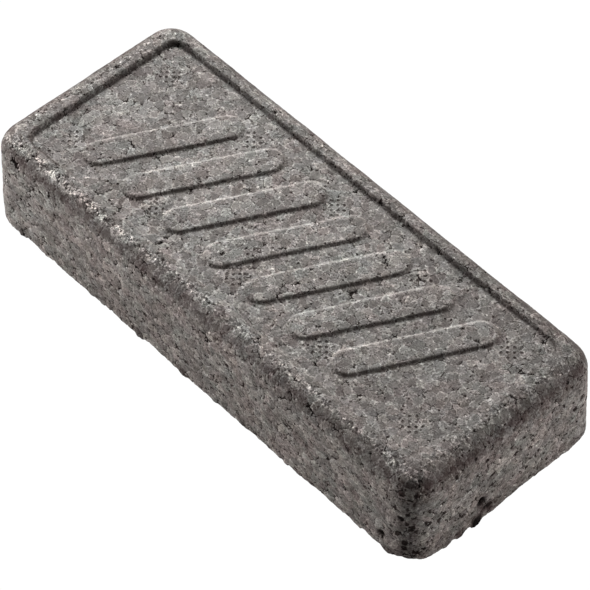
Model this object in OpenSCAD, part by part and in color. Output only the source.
// Block eraser for chalkboards and whiteboards: a moulded bead-foam grip block
// with a soft pile wiping pad glued to its underside.
//
// Frame: the origin is the centre of the wiping face, which rests on the
// board or table at z = 0. +X runs along the length of the block, +Y across
// its width and +Z up through the grip block. All sizes are in millimetres.

/* [Show] */

// Which piece to draw

/* [Foam block] */

// Length of the block along its bottom edge
block_length = 130.2; // [110:0.1:150]

// Width of the block along its bottom edge
block_width = 53.4; // [45:0.1:65]

// Height of the foam block without the pad
block_height = 23.9; // [20:0.1:32]

// Radius of the upright corners, seen from above at the bottom edge
corner_radius = 7.3; // [6.5:0.1:10]

// Radius of the rounding between the sides and the top
edge_radius = 4.7; // [3:0.1:5]

// How far each side leans in from bottom to top
side_lean = 1.0; // [0.4:0.1:1.4]

/* [Top panel] */

// Nominal distance from the block's bottom edge in to the sunken top panel
rim_inset = 6.3; // [6:0.1:9]

// Depth of the sunken top panel below the rim
panel_depth = 0.9; // [0.4:0.1:1.5]

// Corner radius of the sunken panel
panel_radius = 3.0; // [1:0.1:5]

/* [Grip ribs] */

// Number of slanted ribs on the top panel
rib_count = 7; // [5:1:7]

// Distance from one rib to the next along the block
rib_pitch = 12.6; // [11:0.1:12.8]

// Width of each rib
rib_width = 6.6; // [4:0.1:8]

// Extent of each rib across the block, end to end
rib_span = 31; // [20:0.5:33]

// Lean of the ribs away from straight across, in degrees
rib_lean = 28; // [10:1:30]

// Height of the ribs above the sunken panel
rib_rise = 0.5; // [0.3:0.1:0.9]

/* [Mould vent marks] */

// Distance between neighbouring vent marks along the block
vent_pitch_x = 25.6; // [22:0.1:26]

// Distance between the two rows of vent marks
vent_pitch_y = 27.0; // [22:0.5:28]

// Distance between the pinholes in one vent mark
pin_pitch = 1.35; // [1.2:0.05:1.5]

// Width of each pinhole
pin_width = 0.66; // [0.5:0.02:0.8]

// Depth of each pinhole
pin_depth = 0.45; // [0.2:0.05:0.8]

/* [Wiping pad] */

// Distance from the block's bottom edge in to the edge of the pad
pad_inset = 2.6; // [1.5:0.1:5]

// Thickness of the adhesive layer
glue_thickness = 0.3; // [0.2:0.1:0.6]

// Thickness of the knitted cloth that carries the pile
backing_thickness = 0.7; // [0.5:0.1:1.2]

// Length of the pile below the cloth
pile_length = 2.0; // [1.5:0.1:4]

/* [Hidden] */

// Smoothness of the round faces
$fn = 64;

// How far joined pieces run into each other and cuts run past a face
overlap = 1;

// Heights of the layers, from the wiping face upwards
pile_top = pile_length;
backing_top = pile_top + backing_thickness;
block_z = backing_top + glue_thickness;
panel_z = block_z + block_height - panel_depth;
rib_z = panel_z + rib_rise;

// Centres of the upright corners
corner_x = block_length / 2 - corner_radius;
corner_y = block_width / 2 - corner_radius;

// Centre of the top rounding, measured from a corner's upright axis. The arc
// touches both the leaning side and the level top.
side_length = sqrt(block_height * block_height + side_lean * side_lean);
arc_z = block_height - edge_radius;
arc_x = corner_radius - (side_lean * arc_z + edge_radius * side_length) / block_height;

// Point where the arc meets the leaning side
touch_x = arc_x + edge_radius * block_height / side_length;
touch_z = arc_z + edge_radius * side_lean / side_length;

// Half sizes of the sunken panel; its rim is wider at the ends of the block
// and narrower along the sides than the nominal inset
end_rim_extra = 0.8;
side_rim_cut = 0.7;
panel_half_x = block_length / 2 - rim_inset - end_rim_extra;
panel_half_y = block_width / 2 - rim_inset + side_rim_cut;

// Half length of a rib's centre line along its own direction
rib_half = (rib_span - rib_width) / 2 / cos(rib_lean);

// Rib centres along the block
rib_places = [for (i = [0 : rib_count - 1]) (i - (rib_count - 1) / 2) * rib_pitch];

// How far the glue and the cloth sit back from the edge of the pile
glue_setback = 0.6;
backing_setback = 0.2;

// Corner radius of all the pad layers
pad_radius = corner_radius - 1.5;

// Pinholes of one vent mark: a four by four grid without its corners, turned
// by 45 degrees
vent_pins = [
    for (i = [-1.5 : 1.5], j = [-1.5 : 1.5])
        if (abs(i) + abs(j) < 3)
            [i - j, i + j] * pin_pitch / sqrt(2)
];

// Every pinhole of the two rows of five vent marks
all_pins = [
    for (column = [-2 : 2], row = [-0.5, 0.5], pin = vent_pins)
        [column * vent_pitch_x, row * vent_pitch_y] + pin
];

// Pinholes that lie wholly on a rib, and those that lie wholly beside the
// ribs. The few that would come too near a rib's edge are left out.
pin_margin = pin_width / 2 + 0.25;
pins_on_ribs = [for (pin = all_pins) if (nearest_rib(pin) < rib_width / 2 - pin_margin) pin];
pins_on_panel = [for (pin = all_pins) if (nearest_rib(pin) > rib_width / 2 + pin_margin) pin];

// Distance from a point to the centre line of the rib centred at rib_x
function rib_distance(point, rib_x) =
    let (
        direction = [sin(rib_lean), cos(rib_lean)],
        offset = point - [rib_x, 0],
        along = min(max(offset * direction, -rib_half), rib_half)
    )
    norm(offset - along * direction);

// Distance from a point to the nearest rib's centre line
function nearest_rib(point) = min([for (x = rib_places) rib_distance(point, x)]);

// Outline of one side of the block: leaning wall, round shoulder, level top
module side_profile() {
    intersection() {
        union() {
            polygon([
                [0, 0], [corner_radius, 0], [touch_x, touch_z], [arc_x, arc_z],
                [arc_x, block_height], [0, block_height]
            ]);
            translate([arc_x, arc_z]) circle(r = edge_radius);
        }
        square([corner_radius + overlap, block_height]);
    }
}

// The same outline on both sides of its axis
module both_profile() {
    side_profile();
    mirror([1, 0]) side_profile();
}

// The block before the panel is sunk into it
module plain_block() {
    // Upright corners
    for (sx = [-1, 1], sy = [-1, 1])
        translate([sx * corner_x, sy * corner_y, 0])
            rotate_extrude() side_profile();
    // Long sides
    for (sy = [-1, 1])
        translate([-corner_x, sy * corner_y, 0])
            rotate([90, 0, 90])
                linear_extrude(height = 2 * corner_x) both_profile();
    // Ends
    for (sx = [-1, 1])
        translate([sx * corner_x, corner_y, 0])
            rotate([90, 0, 0])
                linear_extrude(height = 2 * corner_y) both_profile();
    // Core
    translate([-corner_x, -corner_y, 0])
        cube([2 * corner_x, 2 * corner_y, block_height]);
}

// Flat rectangle with round corners, centred on the origin
module round_rect(half_x, half_y, radius) {
    inner_x = half_x - radius;
    inner_y = half_y - radius;
    translate([-inner_x, -half_y]) square([2 * inner_x, 2 * half_y]);
    translate([-half_x, -inner_y]) square([2 * half_x, 2 * inner_y]);
    for (sx = [-1, 1], sy = [-1, 1])
        translate([sx * inner_x, sy * inner_y]) circle(r = radius);
}

// One slanted rib with round ends; its +Y end leans towards +X
module rib() {
    height = rib_rise + overlap;
    rotate([0, 0, -rib_lean]) {
        translate([-rib_width / 2, -rib_half, 0]) cube([rib_width, 2 * rib_half, height]);
        for (sy = [-1, 1])
            translate([0, sy * rib_half, 0]) cylinder(r = rib_width / 2, h = height);
    }
}

// Shallow eight-sided pinholes sunk from height top
module pinholes(places, top) {
    for (place = places)
        translate([place[0], place[1], top - pin_depth])
            cylinder(d = pin_width, h = pin_depth + 2 * overlap, $fn = 8);
}

// Moulded bead-foam grip block
module foam_block() {
    color([0.42, 0.415, 0.41])
        difference() {
            union() {
                difference() {
                    translate([0, 0, block_z]) plain_block();
                    translate([0, 0, panel_z])
                        linear_extrude(height = panel_depth + overlap)
                            round_rect(panel_half_x, panel_half_y, panel_radius);
                }
                for (x = rib_places)
                    translate([x, 0, panel_z - overlap]) rib();
            }
            pinholes(pins_on_panel, panel_z);
            pinholes(pins_on_ribs, rib_z);
        }
}

// One flat layer of the pad between two heights, set in from the block's edge
module pad_layer(inset, bottom, top) {
    translate([0, 0, bottom])
        linear_extrude(height = top - bottom)
            round_rect(block_length / 2 - inset, block_width / 2 - inset, pad_radius);
}

// Film of glue between the foam and the pad
module adhesive_layer() {
    color([0.72, 0.70, 0.62]) pad_layer(pad_inset + glue_setback, backing_top, block_z);
}

// Knitted cloth that carries the pile
module pad_backing() {
    color([0.22, 0.22, 0.23]) pad_layer(pad_inset + backing_setback, pile_top, backing_top);
}

// Soft pile that wipes the board
module pad_pile() {
    color([0.16, 0.16, 0.17]) pad_layer(pad_inset, 0, pile_top);
}

foam_block();
adhesive_layer();
pad_backing();
pad_pile();
